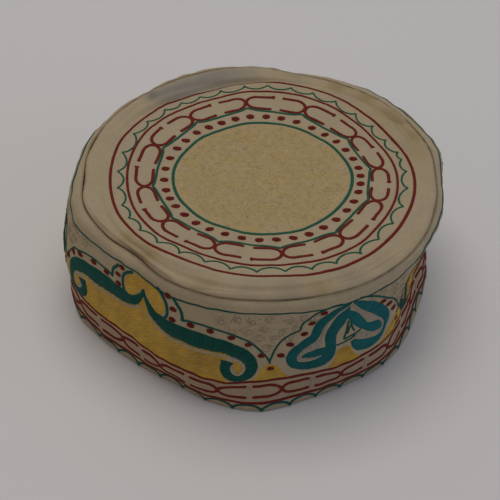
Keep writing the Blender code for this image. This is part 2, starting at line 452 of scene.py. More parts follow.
# The band's shell: down its outer side, round the hem's fold and up inside, where the turned-up
# cotton makes a low step
BAND_TURNS = 720
HEM_TURNING = 13.0       # height of the turned-up cotton inside
HEM_STEP = 0.45          # its thickness
SEAM_SHADE_REACH = 0.7          # how far the painted shade reaches from the seam, and the darkening up from the hem
HEM_DARK_REACH = 2.5
BLED_FROM = 52.5         # the cloth between these two has taken up the red dye
BLED_TO = 70.0
BLED_EDGE = 3.0
FOLD_RADIUS = CLOTH / 2

columns = np.arange(BAND_TURNS) * 360.0 / BAND_TURNS
length = length_at(columns)
outer_share = shares((0, 2, 8), (2, 12, 15), (12, 70, 49))
foot = np.radians(np.linspace(0, 180, 8))[1:-1, None]
inner_share = np.linspace(1, 0, 30)
straight = length - FOLD_RADIUS
outer_cloth = outer_share[:, None] * straight
fold_cloth = straight + FOLD_RADIUS * np.sin(foot)
inner_cloth = inner_share[:, None] * straight
band_cloth = np.concatenate([outer_cloth, fold_cloth, inner_cloth])
turning = HEM_STEP * np.clip((inner_cloth - (length - HEM_TURNING)) / 1.2, 0.0, 1.0)
turning = turning * np.clip((straight - inner_cloth) / 3.0, 0.0, 1.0)
band_lift = np.concatenate([
    np.zeros_like(outer_cloth),
    -FOLD_RADIUS * (1 - np.cos(foot)) * np.ones_like(length),
    -CLOTH - turning,
])
points = on_band(columns[None], band_cloth, band_lift)
faces, corner_rows, corner_turns = shell_faces(len(points), BAND_TURNS, True)
coords = np.stack([corner_turns * 360.0 / BAND_TURNS * MM_A_DEGREE / 10,
                   band_cloth[corner_rows, corner_turns % BAND_TURNS] / 10], axis=-1)
# Painted shade: a dark line in the groove under the seam; the cloth also darkens towards the hem.
near_seam = np.exp(-(band_cloth / SEAM_SHADE_REACH) ** 2)
near_hem = np.exp(-((length - band_cloth) / HEM_DARK_REACH) ** 2)
band_soil_and_shade = np.clip(0.75 * near_seam + 0.16 * near_hem, 0.0, 1.0)
band_bled = 0.28 * np.clip((band_cloth - BLED_FROM) / BLED_EDGE, 0.0, 1.0)
band_bled = band_bled * np.clip((BLED_TO - band_cloth) / BLED_EDGE, 0.0, 1.0) * (band_lift > -0.5 * CLOTH)
made_piece("band_cloth", points.reshape(-1, 3), faces, coords, cotton("band cotton"),
           {"soil_and_shade": band_soil_and_shade, "bled": band_bled}, "side_band")


# The crown is a round of the same cotton, sewn to the band's upper edge. It sags a little, rises to
# a rim round the embroidery, and falls into soft folds in front and a deep one behind.
CROWN_COLUMNS = ("direction", "lift", "valley", "valley_place", "roll", "rim", "inner", "bulge")
CROWN_ROWS = (
    (0, -0.5, 0.0, 0.35, 0.8, 75.1, 45.0, 0.0),
    (30, 1.5, 0.8, 0.30, 0.6, 70.6, 42.7, 0.2),
    (60, 0.8, 0.8, 0.25, 0.6, 72.8, 42.0, 1.4),
    (90, -1.5, 2.0, 0.16, 0.4, 76.5, 43.3, 2.4),
    (120, -2.5, 2.2, 0.14, 0.4, 75.9, 43.3, 2.2),
    (150, -1.0, 0.8, 0.22, 0.6, 75.7, 42.7, 1.0),
    (180, 0.5, 0.0, 0.30, 0.8, 74.2, 43.5, 0.2),
    (210, 0.5, 0.8, 0.42, 1.0, 75.0, 43.0, 0.2),
    (240, 1.0, 1.2, 0.48, 1.3, 73.0, 42.1, 0.4),
    (270, 0.5, 1.2, 0.50, 1.3, 73.8, 42.9, 0.4),
    (300, -0.3, 0.8, 0.50, 1.0, 76.8, 43.6, 0.0),
    (330, -0.5, 0.2, 0.45, 0.8, 76.2, 44.1, 0.0),
)
FLAT_RADIUS = 76.0
CROWN_SAG = 1.2
FLAT_RISE = 1.7
VALLEY_WIDTH = 0.20
ROLL_PLACE = 0.78
ROLL_WIDTH = 0.22
CROWN_GATHERS = 83
CROWN_INSET = 0.15       # between its edge and the band's line at the seam

# Creases in the crown's margin, each a line through directions and distances from the axis, with
# how deep it is, how wide to either side, and how much painted shade darkens it
CREASES = (
    (((196, 87.0), (205, 85.4), (213, 83.3), (220, 81.9), (227, 81.8), (234, 83.6), (241, 86.0), (246, 88.0)),
     0.60, 0.8, 0.26),
    (((247, 87.4), (254, 85.4), (262, 84.6), (272, 83.6), (285, 84.0), (298, 84.6), (312, 85.0), (326, 86.0)),
     0.50, 0.7, 0.34),
    (((219, 78.8), (226, 77.6), (234, 77.8), (243, 78.8), (251, 80.4)), 0.70, 2.6, 0.10),
    (((80, 80.4), (94, 79.4), (106, 79.8), (120, 81.6), (134, 84.6)), 0.55, 1.6, 0.10),
    (((60, 78.0), (48, 79.4), (37, 81.0), (24, 82.2), (13, 81.4)), 0.40, 2.4, 0.10),
    (((33, 76.5), (31, 80.0), (29, 84.0), (28, 87.0)), 0.80, 1.8, 0.16),
    (((24, 69.0), (18, 71.5), (12, 75.5), (8, 79.0)), 0.40, 1.8, 0.05),
    (((332, 78.5), (340, 82.5), (343, 86.0)), 0.25, 2.0, 0.03),
)


def crown_height(directions, distance):
    """Height of the crown's outer side: a cubic dish up to the rim, then a line to the seam with
    the valley and the roll on it."""
    lift, valley, place, roll = (
        column(CROWN_ROWS, CROWN_COLUMNS, name, directions) for name in CROWN_COLUMNS[1:5]
    )
    seam = column(BAND_ROWS, BAND_COLUMNS, "seam", directions)
    seam_lift = column(BAND_ROWS, BAND_COLUMNS, "lift", directions)
    inside = np.minimum(distance / FLAT_RADIUS, 1.0)
    across = np.maximum((distance - FLAT_RADIUS) / (seam - FLAT_RADIUS), 0.0)
    dish = -CROWN_SAG + (FLAT_RISE + CROWN_SAG + lift) * inside**3
    margin = (seam_lift - FLAT_RISE - lift) * across
    folds = roll * bell(across, ROLL_PLACE, ROLL_WIDTH) - valley * bell(across, place, VALLEY_WIDTH)
    return SEAM_HEIGHT + dish + margin + folds


def line_distance(x, y, path):
    """Distance of each point to the nearest stretch of a path, and its share of the way along."""
    nearest, along = np.full(x.shape, 1e9), np.zeros(x.shape)
    for number, (start, end) in enumerate(zip(path[:-1], path[1:])):
        stretch = end - start
        share = ((x - start[0]) * stretch[0] + (y - start[1]) * stretch[1]) / (stretch @ stretch)
        share = np.clip(share, 0.0, 1.0)
        away = np.hypot(x - start[0] - share * stretch[0], y - start[1] - share * stretch[1])
        along = np.where(away < nearest, (number + share) / (len(path) - 1), along)
        nearest = np.minimum(nearest, away)
    return nearest, along


def crease_profile(x, y):
    """How deep the creases press the crown at plan points, and how much painted shade darkens them."""
    depth, painted_crease_shade = np.zeros(x.shape), np.zeros(x.shape)
    for line_places, deep, wide, crease_shade in CREASES:
        places = smooth_line(line_places, 6)
        near, along = line_distance(x, y, polar(*places.T))
        near, fade = near / wide, np.clip(5.0 * np.minimum(along, 1.0 - along), 0.0, 1.0)
        depth += deep * fade * (np.exp(-(near**2)) - 0.45 * np.exp(-((near - 1.9) ** 2)))
        painted_crease_shade += crease_shade * fade * np.exp(-((1.6 * near) ** 2))
    return depth, painted_crease_shade


distances = np.arange(0.0, 92.0, STEP)[:, None]
seam_at = column(BAND_ROWS, BAND_COLUMNS, "seam", turn_directions)
crown_grid = turned(distances, crown_height(turn_directions[None], distances), turn_directions)
plan_x, plan_y = crown_grid[..., 0], crown_grid[..., 1]
crease_depth = crease_profile(plan_x, plan_y)[0]
rumple = 0.26 * soft_waves(plan_x, plan_y, 30.0, 11) + 0.06 * soft_waves(plan_x, plan_y, 8.0, 12)
from_seam = seam_at[None] - distances
gather = np.cos(CROWN_GATHERS * turn + 3.0 * np.sin(4 * turn))
rumple += 0.15 * np.exp(-np.abs(from_seam - 2.0) / 2.2) * gather
tuck = SEAM_TUCK * np.clip(1.0 - from_seam / SEAM_TUCK, 0.0, 1.0) ** 2
upright = grid_normals(crown_grid)
upright[:8] = (0.0, 0.0, 1.0)
crown_grid = crown_grid + (rumple - crease_depth - tuck)[..., None] * upright
crown_normals = grid_normals(crown_grid)
crown_normals[:2] = crown_normals[2].mean(axis=0)


def on_crown(directions, distance, lift=0.0):
    """Points on the crown's cloth, lifted along its normal, at directions and distances."""
    lift = np.asarray(lift, float)[..., None]
    rows = distance / STEP
    return read_grid(crown_grid, rows, directions) + lift * read_grid(crown_normals, rows, directions)


# The crown's pattern is set out on even rings about the axis, in millimetres
OUTER_RING = 75.0
SECOND_RING = 66.5
LINK_MIDDLE = 58.0
POINTED_RING = 51.8
DOT_RING = 48.0
INNER_RING = 43.7

# Marks on the crown's cloth, partly stains and wear, partly painted shade in its folds (the grey at the
# back left is painted shade): direction and distance, radius, how brown, and how grey
MARKS = (
    (12, 80.5, 7.0, 0.24, 0.0),
    (21, 84.0, 5.5, 0.40, 0.0),
    (31, 83.0, 8.0, 0.28, 0.0),
    (37, 80.5, 6.5, 0.32, 0.0),
    (48, 85.0, 7.0, 0.50, 0.0),
    (60, 79.5, 4.5, 0.24, 0.0),
    (61, 85.5, 6.5, 0.36, 0.0),
    (77, 84.5, 7.0, 0.14, 0.12),
    (93, 84.5, 5.5, 0.0, 0.22),
    (99, 84.0, 6.0, 0.0, 0.30),
    (105, 83.5, 6.0, 0.0, 0.42),
    (111, 83.0, 6.0, 0.0, 0.46),
    (117, 82.5, 6.0, 0.0, 0.46),
    (123, 82.0, 6.0, 0.0, 0.46),
    (128, 82.6, 4.6, 0.04, 0.46),
    (132.2, 85.0, 3.6, 0.26, 0.62),
    (217, 79.0, 5.0, 0.28, 0.0),
    (228, 78.5, 5.0, 0.30, 0.0),
    (226, 84.5, 8.0, 0.10, 0.0),
    (234.5, 59.0, 1.1, 0.22, 0.0),
    (251, 86.0, 6.5, 0.22, 0.06),
    (266, 84.0, 8.0, 0.08, 0.18),
    (279, 84.0, 8.0, 0.20, 0.30),
    (288, 85.0, 5.0, 0.38, 0.06),
    (299, 84.5, 8.0, 0.12, 0.26),
    (312, 84.5, 7.0, 0.08, 0.14),
    (306, 61.0, 1.6, 0.10, 0.0),
)


def marked(x, y):
    """How brown and how grey the soft round marks make the cloth at plan points."""
    brown, grey = np.zeros(x.shape), np.zeros(x.shape)
    for direction, distance, radius, browned, greyed in MARKS:
        middle_x, middle_y = polar(direction, distance)
        away = np.hypot(x - middle_x, y - middle_y)
        brown += browned * np.exp(-((away / radius) ** 2))
        grey += greyed * np.exp(-((away / radius) ** 2))
    return brown, grey


CROWN_TURNS = 600
columns = np.arange(CROWN_TURNS) * 360.0 / CROWN_TURNS
seam_distance = column(BAND_ROWS, BAND_COLUMNS, "seam", columns) - CROWN_INSET
outer_share = shares((0, 66, 30), (66, 86, 42), (86, 88, 8))
inner_share = np.linspace(1, 0, 18)
crown_distance = np.concatenate([outer_share, inner_share])[:, None] * seam_distance
crown_lift = np.concatenate([np.zeros(len(outer_share)), np.full(len(inner_share), -CLOTH)])[:, None]
points = on_crown(columns[None], crown_distance, crown_lift * np.ones_like(seam_distance))
faces, corner_rows, corner_turns = shell_faces(len(points), CROWN_TURNS, False)
flat = turned(crown_distance, 0.0, columns)[..., :2]
coords = flat[corner_rows, corner_turns % CROWN_TURNS] / 10
# The soft marks brown, yellow and grey the margin: partly stains and wear, partly painted shade in its folds,
# as at the back left.
crown_brown, crown_shade_and_wear = marked(*np.moveaxis(flat, -1, 0))
crown_stains_and_shade = crease_profile(*np.moveaxis(flat, -1, 0))[1] + 0.7 * crown_brown
# Painted shade: a dark line along the seam's groove, darker at the back right, added to the painted shade in
# the creases.
seam_shade = 0.75 + 0.2 * np.exp(-(((columns - 60.0) / 22.0) ** 2))
crown_soil_and_shade = crown_stains_and_shade + seam_shade * np.exp(-(((seam_distance - crown_distance) / 0.65) ** 2))
crown_worked = 0.6 * np.clip((INNER_RING - crown_distance) / 1.5, 0.0, 1.0) * np.ones_like(seam_distance)
crown_worked *= 1.0 + 0.16 * soft_waves(*np.moveaxis(flat, -1, 0), 12.0, 36)
crown_values = {"soil_and_shade": crown_soil_and_shade, "worked_stains_and_shade": crown_worked + 1.3 * crown_brown, "wear_and_shade": crown_shade_and_wear}
made_piece("crown_cloth", points.reshape(-1, 3), faces, coords, cotton("crown cotton"),
           {name: np.clip(values, 0.0, 1.0) for name, values in crown_values.items()}, "crown_panel")


# The lines of the embroidery are narrow satin cords, stitched side by side across the line. Each
# one is a low ridge of thread along its path, and its stitches swell and narrow it in turn.
def crown_place(x, y, lift):
    """A place in the crown's even pattern, carried to the cloth, whose rings are drawn out of round."""
    directions = np.degrees(np.arctan2(y, x)) % 360.0
    reach = np.hypot(x, y)
    rim, inner, bulge = (column(CROWN_ROWS, CROWN_COLUMNS, name, directions) for name in CROWN_COLUMNS[5:])
    share = (reach - INNER_RING) / (OUTER_RING - INNER_RING)
    outside = inner + share * (rim - inner) + 1.6 * bulge * share * (1.0 - share**4)
    distance = np.where(share < 0.0, reach * inner / INNER_RING, outside)
    return on_crown(directions, distance, lift)


def band_place(x, y, lift):
    """A place in the band's even pattern, x round the cap and y down the cloth, carried to the
    cloth, where the pattern slips up or down."""
    directions = x / MM_A_DEGREE
    slip = column(BAND_ROWS, BAND_COLUMNS, "slip", directions)
    length = length_at(directions)
    cloth = y + slip * np.clip((y - 8.0) / 17.0, 0.0, 1.0) * np.clip((length - y) / 14.0, 0.0, 1.0)
    return on_band(directions, np.minimum(cloth, length - 0.3), lift)


def even_path(path, spacing, closed=False):
    """The path read again at even spacing, all its columns with it."""
    path = np.asarray(path, float)
    if closed:
        path = np.concatenate([path, path[:1]])
    run = np.concatenate([[0], np.cumsum(np.hypot(*np.diff(path[:, :2], axis=0).T))])
    count = max(int(round(run[-1] / spacing)), 3)
    at = np.linspace(0, run[-1], count + 1)
    read = np.stack([np.interp(at, run, values) for values in path.T], axis=-1)
    return read[:-1] if closed else read


def left_of(along):
    """Unit vectors to the left of plan vectors."""
    unit = along / np.maximum(np.hypot(along[:, 0], along[:, 1]), 1e-9)[:, None]
    return np.stack([-unit[:, 1], unit[:, 0]], axis=-1)


def side_of(path, closed=False):
    """Unit vectors to the left of a path at each of its points."""
    if closed:
        along = np.roll(path, -1, axis=0) - np.roll(path, 1, axis=0)
    else:
        along = np.gradient(path, axis=0)
    return left_of(along[:, :2])


def tube_faces(count, closed=False):
    """Quads of a tube of count rings of four points, closed on itself or by a cap at either end."""
    station, corner = np.divmod(np.arange(4 * (count if closed else count - 1)), 4)
    here, after, beside = 4 * station, 4 * ((station + 1) % count), (corner + 1) % 4
    faces = np.stack([here + corner, after + corner, after + beside, here + beside], axis=1)
    last = 4 * (count - 1)
    return faces if closed else np.concatenate([faces, [[0, 1, 2, 3], [last + 3, last + 2, last + 1, last]]])


CORD_PITCH = 0.45        # between the stitches of a cord
CORD_RING = np.array([(-0.5, -0.35), (-0.27, 0.8), (0.27, 0.8), (0.5, -0.35)])
CORD_SIDE = 0.03         # the share of the UV map across one side of its section, in centimetres


def cords(place, paths, width, height, seed, closed=False):
    """Cords along many paths as one mesh: points, faces, UVs and shades.

    The section is a ring of four points, as wide and high as said, at each stitch; every other
    ring is a fifth smaller, and the two end rings of an open path close to a blunt tip.
    """
    draw = np.random.default_rng(seed)
    meshes, first = [], 0
    for path in paths:
        path = even_path(path, CORD_PITCH, closed)
        count = len(path)
        even = np.arange(count) % 2 == 0
        swell = np.where(even, 1.0, 0.8) * draw.uniform(0.93, 1.07, count)
        rise = np.where(even, 1.0, 0.78)
        if not closed:
            swell[[0, -1]] = 0.45
            rise[[0, -1]] = 0.3
        side = side_of(path, closed)
        across = CORD_RING[None, :, 0] * (width * swell)[:, None]
        lift = CORD_RING[None, :, 1] * (height * rise)[:, None]
        points = place(path[:, :1] + side[:, :1] * across, path[:, 1:2] + side[:, 1:2] * across, lift)
        faces = tube_faces(count, closed)
        station, corner = np.divmod(np.arange(4 * (count if closed else count - 1)), 4)
        u, v = station * CORD_PITCH / 10, corner * CORD_SIDE
        after, beside = u + CORD_PITCH / 10, v + CORD_SIDE
        coords = np.zeros((len(faces), 4, 2))
        coords[:len(u)] = np.stack([u, v, after, v, after, beside, u, beside], axis=-1).reshape(-1, 4, 2)
        shade = np.repeat(draw.uniform(0.86, 1.12, count), 4)
        meshes.append((points.reshape(-1, 3), faces + first, coords, shade))
        first += 4 * count
    return tuple(np.concatenate(kind) for kind in zip(*meshes))


def twist_group():
    """The twist of embroidery thread on a UV map in centimetres: slanting plies, sin of u and v,
    with fine hairs. It puts out a height and a shade about one."""
    tree, given, result = new_group("thread twist", (("Thread", "Vector"), ("Plies a cm", "Float")),
                                    (("Height", "Float"), ("Shade", "Float")))
    parts = node(tree, "ShaderNodeSeparateXYZ")
    hairs = node(tree, "ShaderNodeTexNoise", inputs={"Scale": 30.0, "Detail": 2.0})
    link(tree, (given.outputs["Thread"], parts.inputs[0]), (given.outputs["Thread"], hairs.inputs["Vector"]))
    slant = reckon(tree, "ADD", parts.outputs[0], reckon(tree, "MULTIPLY", parts.outputs[1], 1.6))
    turns = reckon(tree, "MULTIPLY", reckon(tree, "MULTIPLY", slant, given.outputs["Plies a cm"]), 2 * np.pi)
    plies = reckon(tree, "SINE", turns, 0.0)
    height = reckon(tree, "ADD", plies, hairs.outputs["Fac"])
    shade = reckon(tree, "ADD", reckon(tree, "MULTIPLY", plies, 0.07),
                   reckon(tree, "ADD", reckon(tree, "MULTIPLY", hairs.outputs["Fac"], 0.3), 0.85))
    link(tree, (height, result.inputs["Height"]), (shade, result.inputs["Shade"]))
    return tree


twist = twist_group()


def thread(name, colour):
    """Dyed embroidery cotton with a soft gloss: colour times the shade of the stitch (a point
    attribute) and of the twist."""
    material, tree, shader, plies = patterned(name, twist, {"Plies a cm": 14.0}, 0.5, 0.00008, 0.7, 0.18)
    stitch = node(tree, "ShaderNodeAttribute", {"attribute_name": "shade"})
    light = reckon(tree, "MULTIPLY", stitch.outputs["Fac"], plies.outputs["Shade"])
    link(tree, (shaded(tree, (*colour, 1.0), light), shader.inputs["Base Color"]))
    return material


red_thread = thread("red thread", (0.175, 0.016, 0.009))
teal_thread = thread("teal thread", (0.006, 0.088, 0.066))
green_thread = thread("green thread", (0.016, 0.110, 0.062))
deep_thread = thread("deep green thread", (0.007, 0.128, 0.122))
blue_thread = thread("blue green thread", (0.008, 0.145, 0.150))
gold_thread = thread("gold thread", (0.65, 0.39, 0.048))
pale_thread = thread("pale thread", (0.42, 0.35, 0.255))


def sewn(name, parts, material):
    """One piece of thread from several meshes of stitches."""
    counts = np.cumsum([0] + [len(part[0]) for part in parts[:-1]])
    points, faces, coords, shades = zip(*parts)
    faces = np.concatenate([own + count for own, count in zip(faces, counts)])
    made_piece(name, np.concatenate(points), faces, np.concatenate(coords), material,
               {"shade": np.concatenate(shades)})


# The crown's red thread: two rings and between them and the pointed ring a chain of twelve long
# links. Neighbouring links touch at a join, and each link's two strokes are open at the middle.
LINK_JOINS = (5.3, 31.5, 66.2, 97.2, 127.1, 156.1, 189.1, 217.2, 247.2, 279.5, 309.6, 341.0)
LINK_REACH = 4.2         # from the middle of the chain to its strokes
LINK_END = 5.5           # length of a link's rounded end along the ring
LINK_GAP = 2.2           # half the opening at the middle of a stroke
SERIF = 1.2              # the small cross stroke at one end of an outer stroke

ring = np.arange(0, 360, 0.5)


def link_end(to_middle):
    """A half link as along and across: from its open inner stroke round the end to the outer one."""
    bow = np.radians(np.linspace(90, 270, 17))
    end = np.stack([LINK_END * (1 + np.cos(bow)) + 0.3, LINK_REACH * np.sin(bow)], axis=-1)
    strokes = np.array([(to_middle - LINK_GAP, LINK_REACH), (to_middle - LINK_GAP, -LINK_REACH)])
    return np.concatenate([strokes[:1], end, strokes[1:]])


links = []
for number, join in enumerate(LINK_JOINS):
    for other, hand in ((LINK_JOINS[number - 1], -1), (LINK_JOINS[(number + 1) % 12], 1)):
        apart = (hand * (other - join)) % 360.0
        half = np.radians(apart / 2) * LINK_MIDDLE
        along, across = link_end(half).T
        directions = join + hand * np.degrees(along / LINK_MIDDLE)
        links.append(polar(directions, LINK_MIDDLE - across))
        if hand == -1:
            serif = LINK_MIDDLE + LINK_REACH + np.linspace(-SERIF, SERIF, 5)
            links.append(polar(directions[-1], serif))
sewn("crown_red_rings", [cords(crown_place, [polar(ring, OUTER_RING)], 2.0, 0.5, 21, True),
                         cords(crown_place, [polar(ring, SECOND_RING)], 1.7, 0.45, 20, True)],
     red_thread)
sewn("crown_red_chain", [cords(crown_place, links, 2.15, 0.5, 22)], red_thread)


# The crown's teal thread: scallops hung inside the outer ring, a ring drawn out to a point at each
# join of the chain, and a plain ring round the middle.
SCALLOP_CUSPS = (
    0.9, 8.3, 13.0, 22.4, 32.5, 43.7, 55.6, 66.9, 77.1, 86.9, 96.5, 106.5, 115.7, 124.7, 133.1, 143.4,
    153.6, 167.2, 179.3, 189.9, 200.2, 208.2, 216.6, 226.2, 237.0, 247.8, 258.1, 268.1, 278.7, 288.4,
    297.9, 308.5, 318.8, 329.2, 339.9, 351.1,
)
SCALLOP_CUSP = 72.4
SCALLOP_SAG = 0.31       # of the distance between its cusps
POINT_RISE = 2.4
POINT_REACH = 4.0        # degrees to either side of a join

cusps = np.array(SCALLOP_CUSPS)
wrapped = np.concatenate([cusps[-1:] - 360, cusps, cusps[:1] + 360])
pick = np.searchsorted(wrapped, ring, side="right")
width = wrapped[pick] - wrapped[pick - 1]
swing = (ring - wrapped[pick - 1]) / width
sag = SCALLOP_SAG * np.radians(width) * SCALLOP_CUSP
scallops = polar(ring, SCALLOP_CUSP - sag * np.sqrt(np.sin(np.pi * swing)))
joins = np.array(LINK_JOINS)
nearest_join = np.min(np.abs((ring[:, None] - joins + 180) % 360 - 180), axis=1)
pointed = polar(ring, POINTED_RING + POINT_RISE * np.exp(-nearest_join / POINT_REACH))
sewn("crown_teal_rings", [cords(crown_place, [scallops], 1.35, 0.35, 23, True),
                          cords(crown_place, [pointed], 1.7, 0.4, 26, True),
                          cords(crown_place, [polar(ring, INNER_RING)], 2.1, 0.45, 24, True)],
     green_thread)


# Filled shapes are laid in flat stitches, one thread beside the next. A stitch runs from one needle
# hole to another, bows up between them and dives into the cloth at both.
STITCH_RING = np.array([(-0.5, 0.0), (-0.28, 0.85), (0.28, 0.85), (0.5, 0.0)])
STITCH_SUNK = 0.12       # how deep it lies in the cloth
STITCH_WANDER = 0.06     # how far its ends stray


def stitches(place, starts, ends, width, height, seed, stations=5):
    """Many flat stitches as one mesh, from rows of starts and ends in the pattern.

    Each is a ring of four points at a few stations; its height over the cloth follows a raised
    arch that begins and ends below the cloth.
    """
    draw = np.random.default_rng(seed)
    count = len(starts)
    share = 0.5 - 0.5 * np.cos(np.linspace(0.12, 0.88, stations) * np.pi)
    share = (share - share[0]) / (share[-1] - share[0])
    arch = np.minimum(1.0, 5.0 * np.minimum(share, 1 - share)) - 0.25 * (share * (1 - share) < 1e-6)
    wander = draw.normal(0, STITCH_WANDER, (count, 2, 2))
    starts, ends = starts + wander[:, 0], ends + wander[:, 1]
    along = ends - starts
    side = left_of(along)
    thick = draw.uniform(0.9, 1.1, count) * width
    middle = starts[:, None] + along[:, None] * share[None, :, None]
    narrow = np.where(arch > 0.3, 1.0, 0.6)
    across = thick[:, None, None] * STITCH_RING[None, None, :, 0] * narrow[None, :, None]
    x = middle[..., 0:1] + side[:, None, 0:1] * across
    y = middle[..., 1:2] + side[:, None, 1:2] * across
    high = height * draw.uniform(0.85, 1.15, count)
    lift = high[:, None, None] * arch[None, :, None] * (0.35 + 0.65 * STITCH_RING[None, None, :, 1])
    points = place(x, y, lift - STITCH_SUNK)
    faces = (tube_faces(stations)[None] + 4 * stations * np.arange(count)[:, None, None]).reshape(-1, 4)
    length = np.hypot(along[:, 0], along[:, 1])
    u = length[:, None] * share[None] / 10 + draw.uniform(0, 1, count)[:, None]
    point_u = np.repeat(u[..., None], 4, axis=2).reshape(-1)
    point_v = np.tile(np.arange(4) * 0.015, count * stations)
    coords = np.stack([point_u[faces], point_v[faces]], axis=-1)
    shade = np.repeat(draw.uniform(0.90, 1.08, count), 4 * stations)
    return points.reshape(-1, 3), faces, coords, shade


def dots(place, centres, size, height, seed):
    """Satin dots, each of five stitches side by side whose ends lie on a circle."""
    offsets = np.linspace(-0.8, 0.8, 5) * size / 2
    half = np.sqrt((size / 2) ** 2 - offsets**2)
    centres = np.asarray(centres, float)[:, None]
    starts = centres + np.stack([offsets, -half], axis=-1)
    ends = centres + np.stack([offsets, half], axis=-1)
    return stitches(place, starts.reshape(-1, 2), ends.reshape(-1, 2), size * 0.24, height, seed)


CROWN_DOTS = (
    6.7, 15.4, 24.5, 34.3, 44.9, 55.5, 66.7, 77.0, 86.5, 96.3, 105.6, 114.8, 123.6, 133.2, 143.4, 153.0,
    163.2, 173.9, 184.4, 193.4, 201.4, 209.6, 218.7, 228.1, 238.0, 248.3, 258.4, 268.6, 278.4, 288.2,
    297.7, 307.5, 317.6, 327.7, 337.0, 345.5, 352.6, 359.7,
)
sewn("crown_red_dots", [dots(crown_place, polar(np.array(CROWN_DOTS), DOT_RING), 3.9, 0.75, 25)],
     red_thread)


# Inside the inner ring the crown is worked all over in pale gold thread close to the cloth's own
# colour: small curled sprays close together, and loose seed stitches between them.
SPRAY_PITCH = 5.4
SPRAY_SIZE = 3.6
SPRAY_LIMIT = 41.0
SEEDS = 1800
SEED_LIMIT = 42.0


def curl(x, y, size, heading, hand):
    """A curled spray: a spiral of one turn and a quarter whose radius shrinks to a third, with a
    short stem."""
    bend = np.linspace(0, 1, 22)
    angle = np.radians(heading) + hand * bend * 2.5 * np.pi
    radius = size * 0.5 * (1 - 0.68 * bend)
    middle = np.stack([radius * np.cos(angle), radius * np.sin(angle)], axis=-1)
    stem = np.array([[np.sin(np.radians(heading)), -np.cos(np.radians(heading))]])
    return np.concatenate([middle[0] + size * 0.8 * stem * hand, middle]) + np.array([x, y])


sprays = []
draw = np.random.default_rng(31)
for row in range(-9, 10):
    for place in range(-9, 10):
        x = SPRAY_PITCH * (place + 0.5 * (row % 2)) + draw.uniform(-0.9, 0.9)
        y = SPRAY_PITCH * 0.87 * row + draw.uniform(-0.9, 0.9)
        size, heading = SPRAY_SIZE * draw.uniform(0.75, 1.1), draw.uniform(0, 360)
        if np.hypot(x, y) < SPRAY_LIMIT - size / 2:
            sprays.append(curl(x, y, size, heading, 1 if (row + place) % 2 else -1))
seed_places = polar(draw.uniform(0, 360, SEEDS), SEED_LIMIT * np.sqrt(draw.uniform(0, 1, SEEDS)))
seed_headings = draw.uniform(0, np.pi, SEEDS)
seed_halves = np.stack([np.cos(seed_headings), np.sin(seed_headings)], axis=-1)
seed_halves = draw.uniform(0.7, 1.6, (SEEDS, 1)) * seed_halves
seeds = stitches(crown_place, seed_places - seed_halves, seed_places + seed_halves, 0.42, 0.22, 33)
seed_shades = draw.choice([0.80, 1.12], SEEDS) + 0.07 * soft_waves(*seed_places.T, 11.0, 35)
seed_shades = np.repeat(seed_shades, len(seeds[3]) // SEEDS)
tonal_thread = thread("tonal thread", (0.52, 0.39, 0.18))
sewn("crown_tonal_sprays", [cords(crown_place, sprays, 0.5, 0.16, 32), (*seeds[:3], seeds[3] * seed_shades)],
     tonal_thread)


# The band's straight work: a thin teal line that runs unevenly under the seam, two red lines with a
# chain of links between them above the hem, and teal scallops along the hem's fold.
TOP_LINE = (
    (0, 4.6), (12, 4.4), (22, 4.8), (32, 3.6), (42, 4.4), (54, 6.6), (68, 8.5), (90, 8.5), (115, 8.5),
    (140, 7.0), (155, 4.0), (165, 3.0), (172, 4.0), (181, 5.6), (186, 7.4), (191, 10.6), (196, 10.8),
    (203, 9.8), (212, 8.4), (220, 6.9), (228, 7.3), (236, 9.2), (243, 9.5), (251, 9.0), (262, 8.3),
    (270, 7.8), (279, 8.2), (288, 9.0), (297, 9.1), (305, 9.7), (312, 10.3), (316, 8.8), (320, 6.2),
    (325, 4.3), (331, 3.8), (345, 4.5), (360, 4.6),
)
UPPER_RED = 53.5
CHAIN_MIDDLE = 60.4
CHAIN_REACH = 3.45
CHAIN_GAP = 1.3
LOWER_RED = 67.6
BAND_JOINS = (
    199.3, 219.3, 235.5, 256.4, 276.3, 296.3, 315.3, 337.0, 355.5, 374.0, 392.6, 411.1, 429.6, 448.1,
    466.7, 485.2, 503.7, 522.2, 540.8, 559.3,
)
BAND_LINK_END = 6.5
HEM_SCALLOPS = 40
HEM_SCALLOP_TOP = 68.9
HEM_SCALLOP_DEEP = 4.0

steps = np.arange(0, 360, 0.25)
straight = steps * MM_A_DEGREE
bow = np.radians(np.linspace(90, 270, 15))
end_along = BAND_LINK_END * (1 + np.cos(bow)) + 0.3
across = CHAIN_REACH * np.concatenate([[1.0], np.sin(bow), [-1.0]])
band_links, link_bars = [], []
for join, next_join in zip(BAND_JOINS[:-1], BAND_JOINS[1:]):
    stroke_end = (next_join - join) * MM_A_DEGREE / 2 - CHAIN_GAP
    bar_at = (join + next_join) * MM_A_DEGREE / 2
    link_bars.append([(bar_at, CHAIN_MIDDLE - CHAIN_REACH), (bar_at, CHAIN_MIDDLE + CHAIN_REACH)])
    along = np.concatenate([[stroke_end], end_along, [stroke_end]])
    for place, hand in ((join, 1), (next_join, -1)):
        band_links.append(np.stack([place * MM_A_DEGREE + hand * along, CHAIN_MIDDLE - across], axis=-1))
top_line = smooth_line(TOP_LINE, 8) * (MM_A_DEGREE, 1.0)
swing = (steps * HEM_SCALLOPS / 360.0) % 1.0
hem_scallops = HEM_SCALLOP_TOP + HEM_SCALLOP_DEEP * (1 - np.sqrt(np.sin(np.pi * swing)))


def round_band(down):
    """A path all round the band at the given distances of cloth, open where its ends meet."""
    path = np.stack(np.broadcast_arrays(straight, down), axis=-1)
    return np.concatenate([path, [[AROUND, path[0, 1]]]])


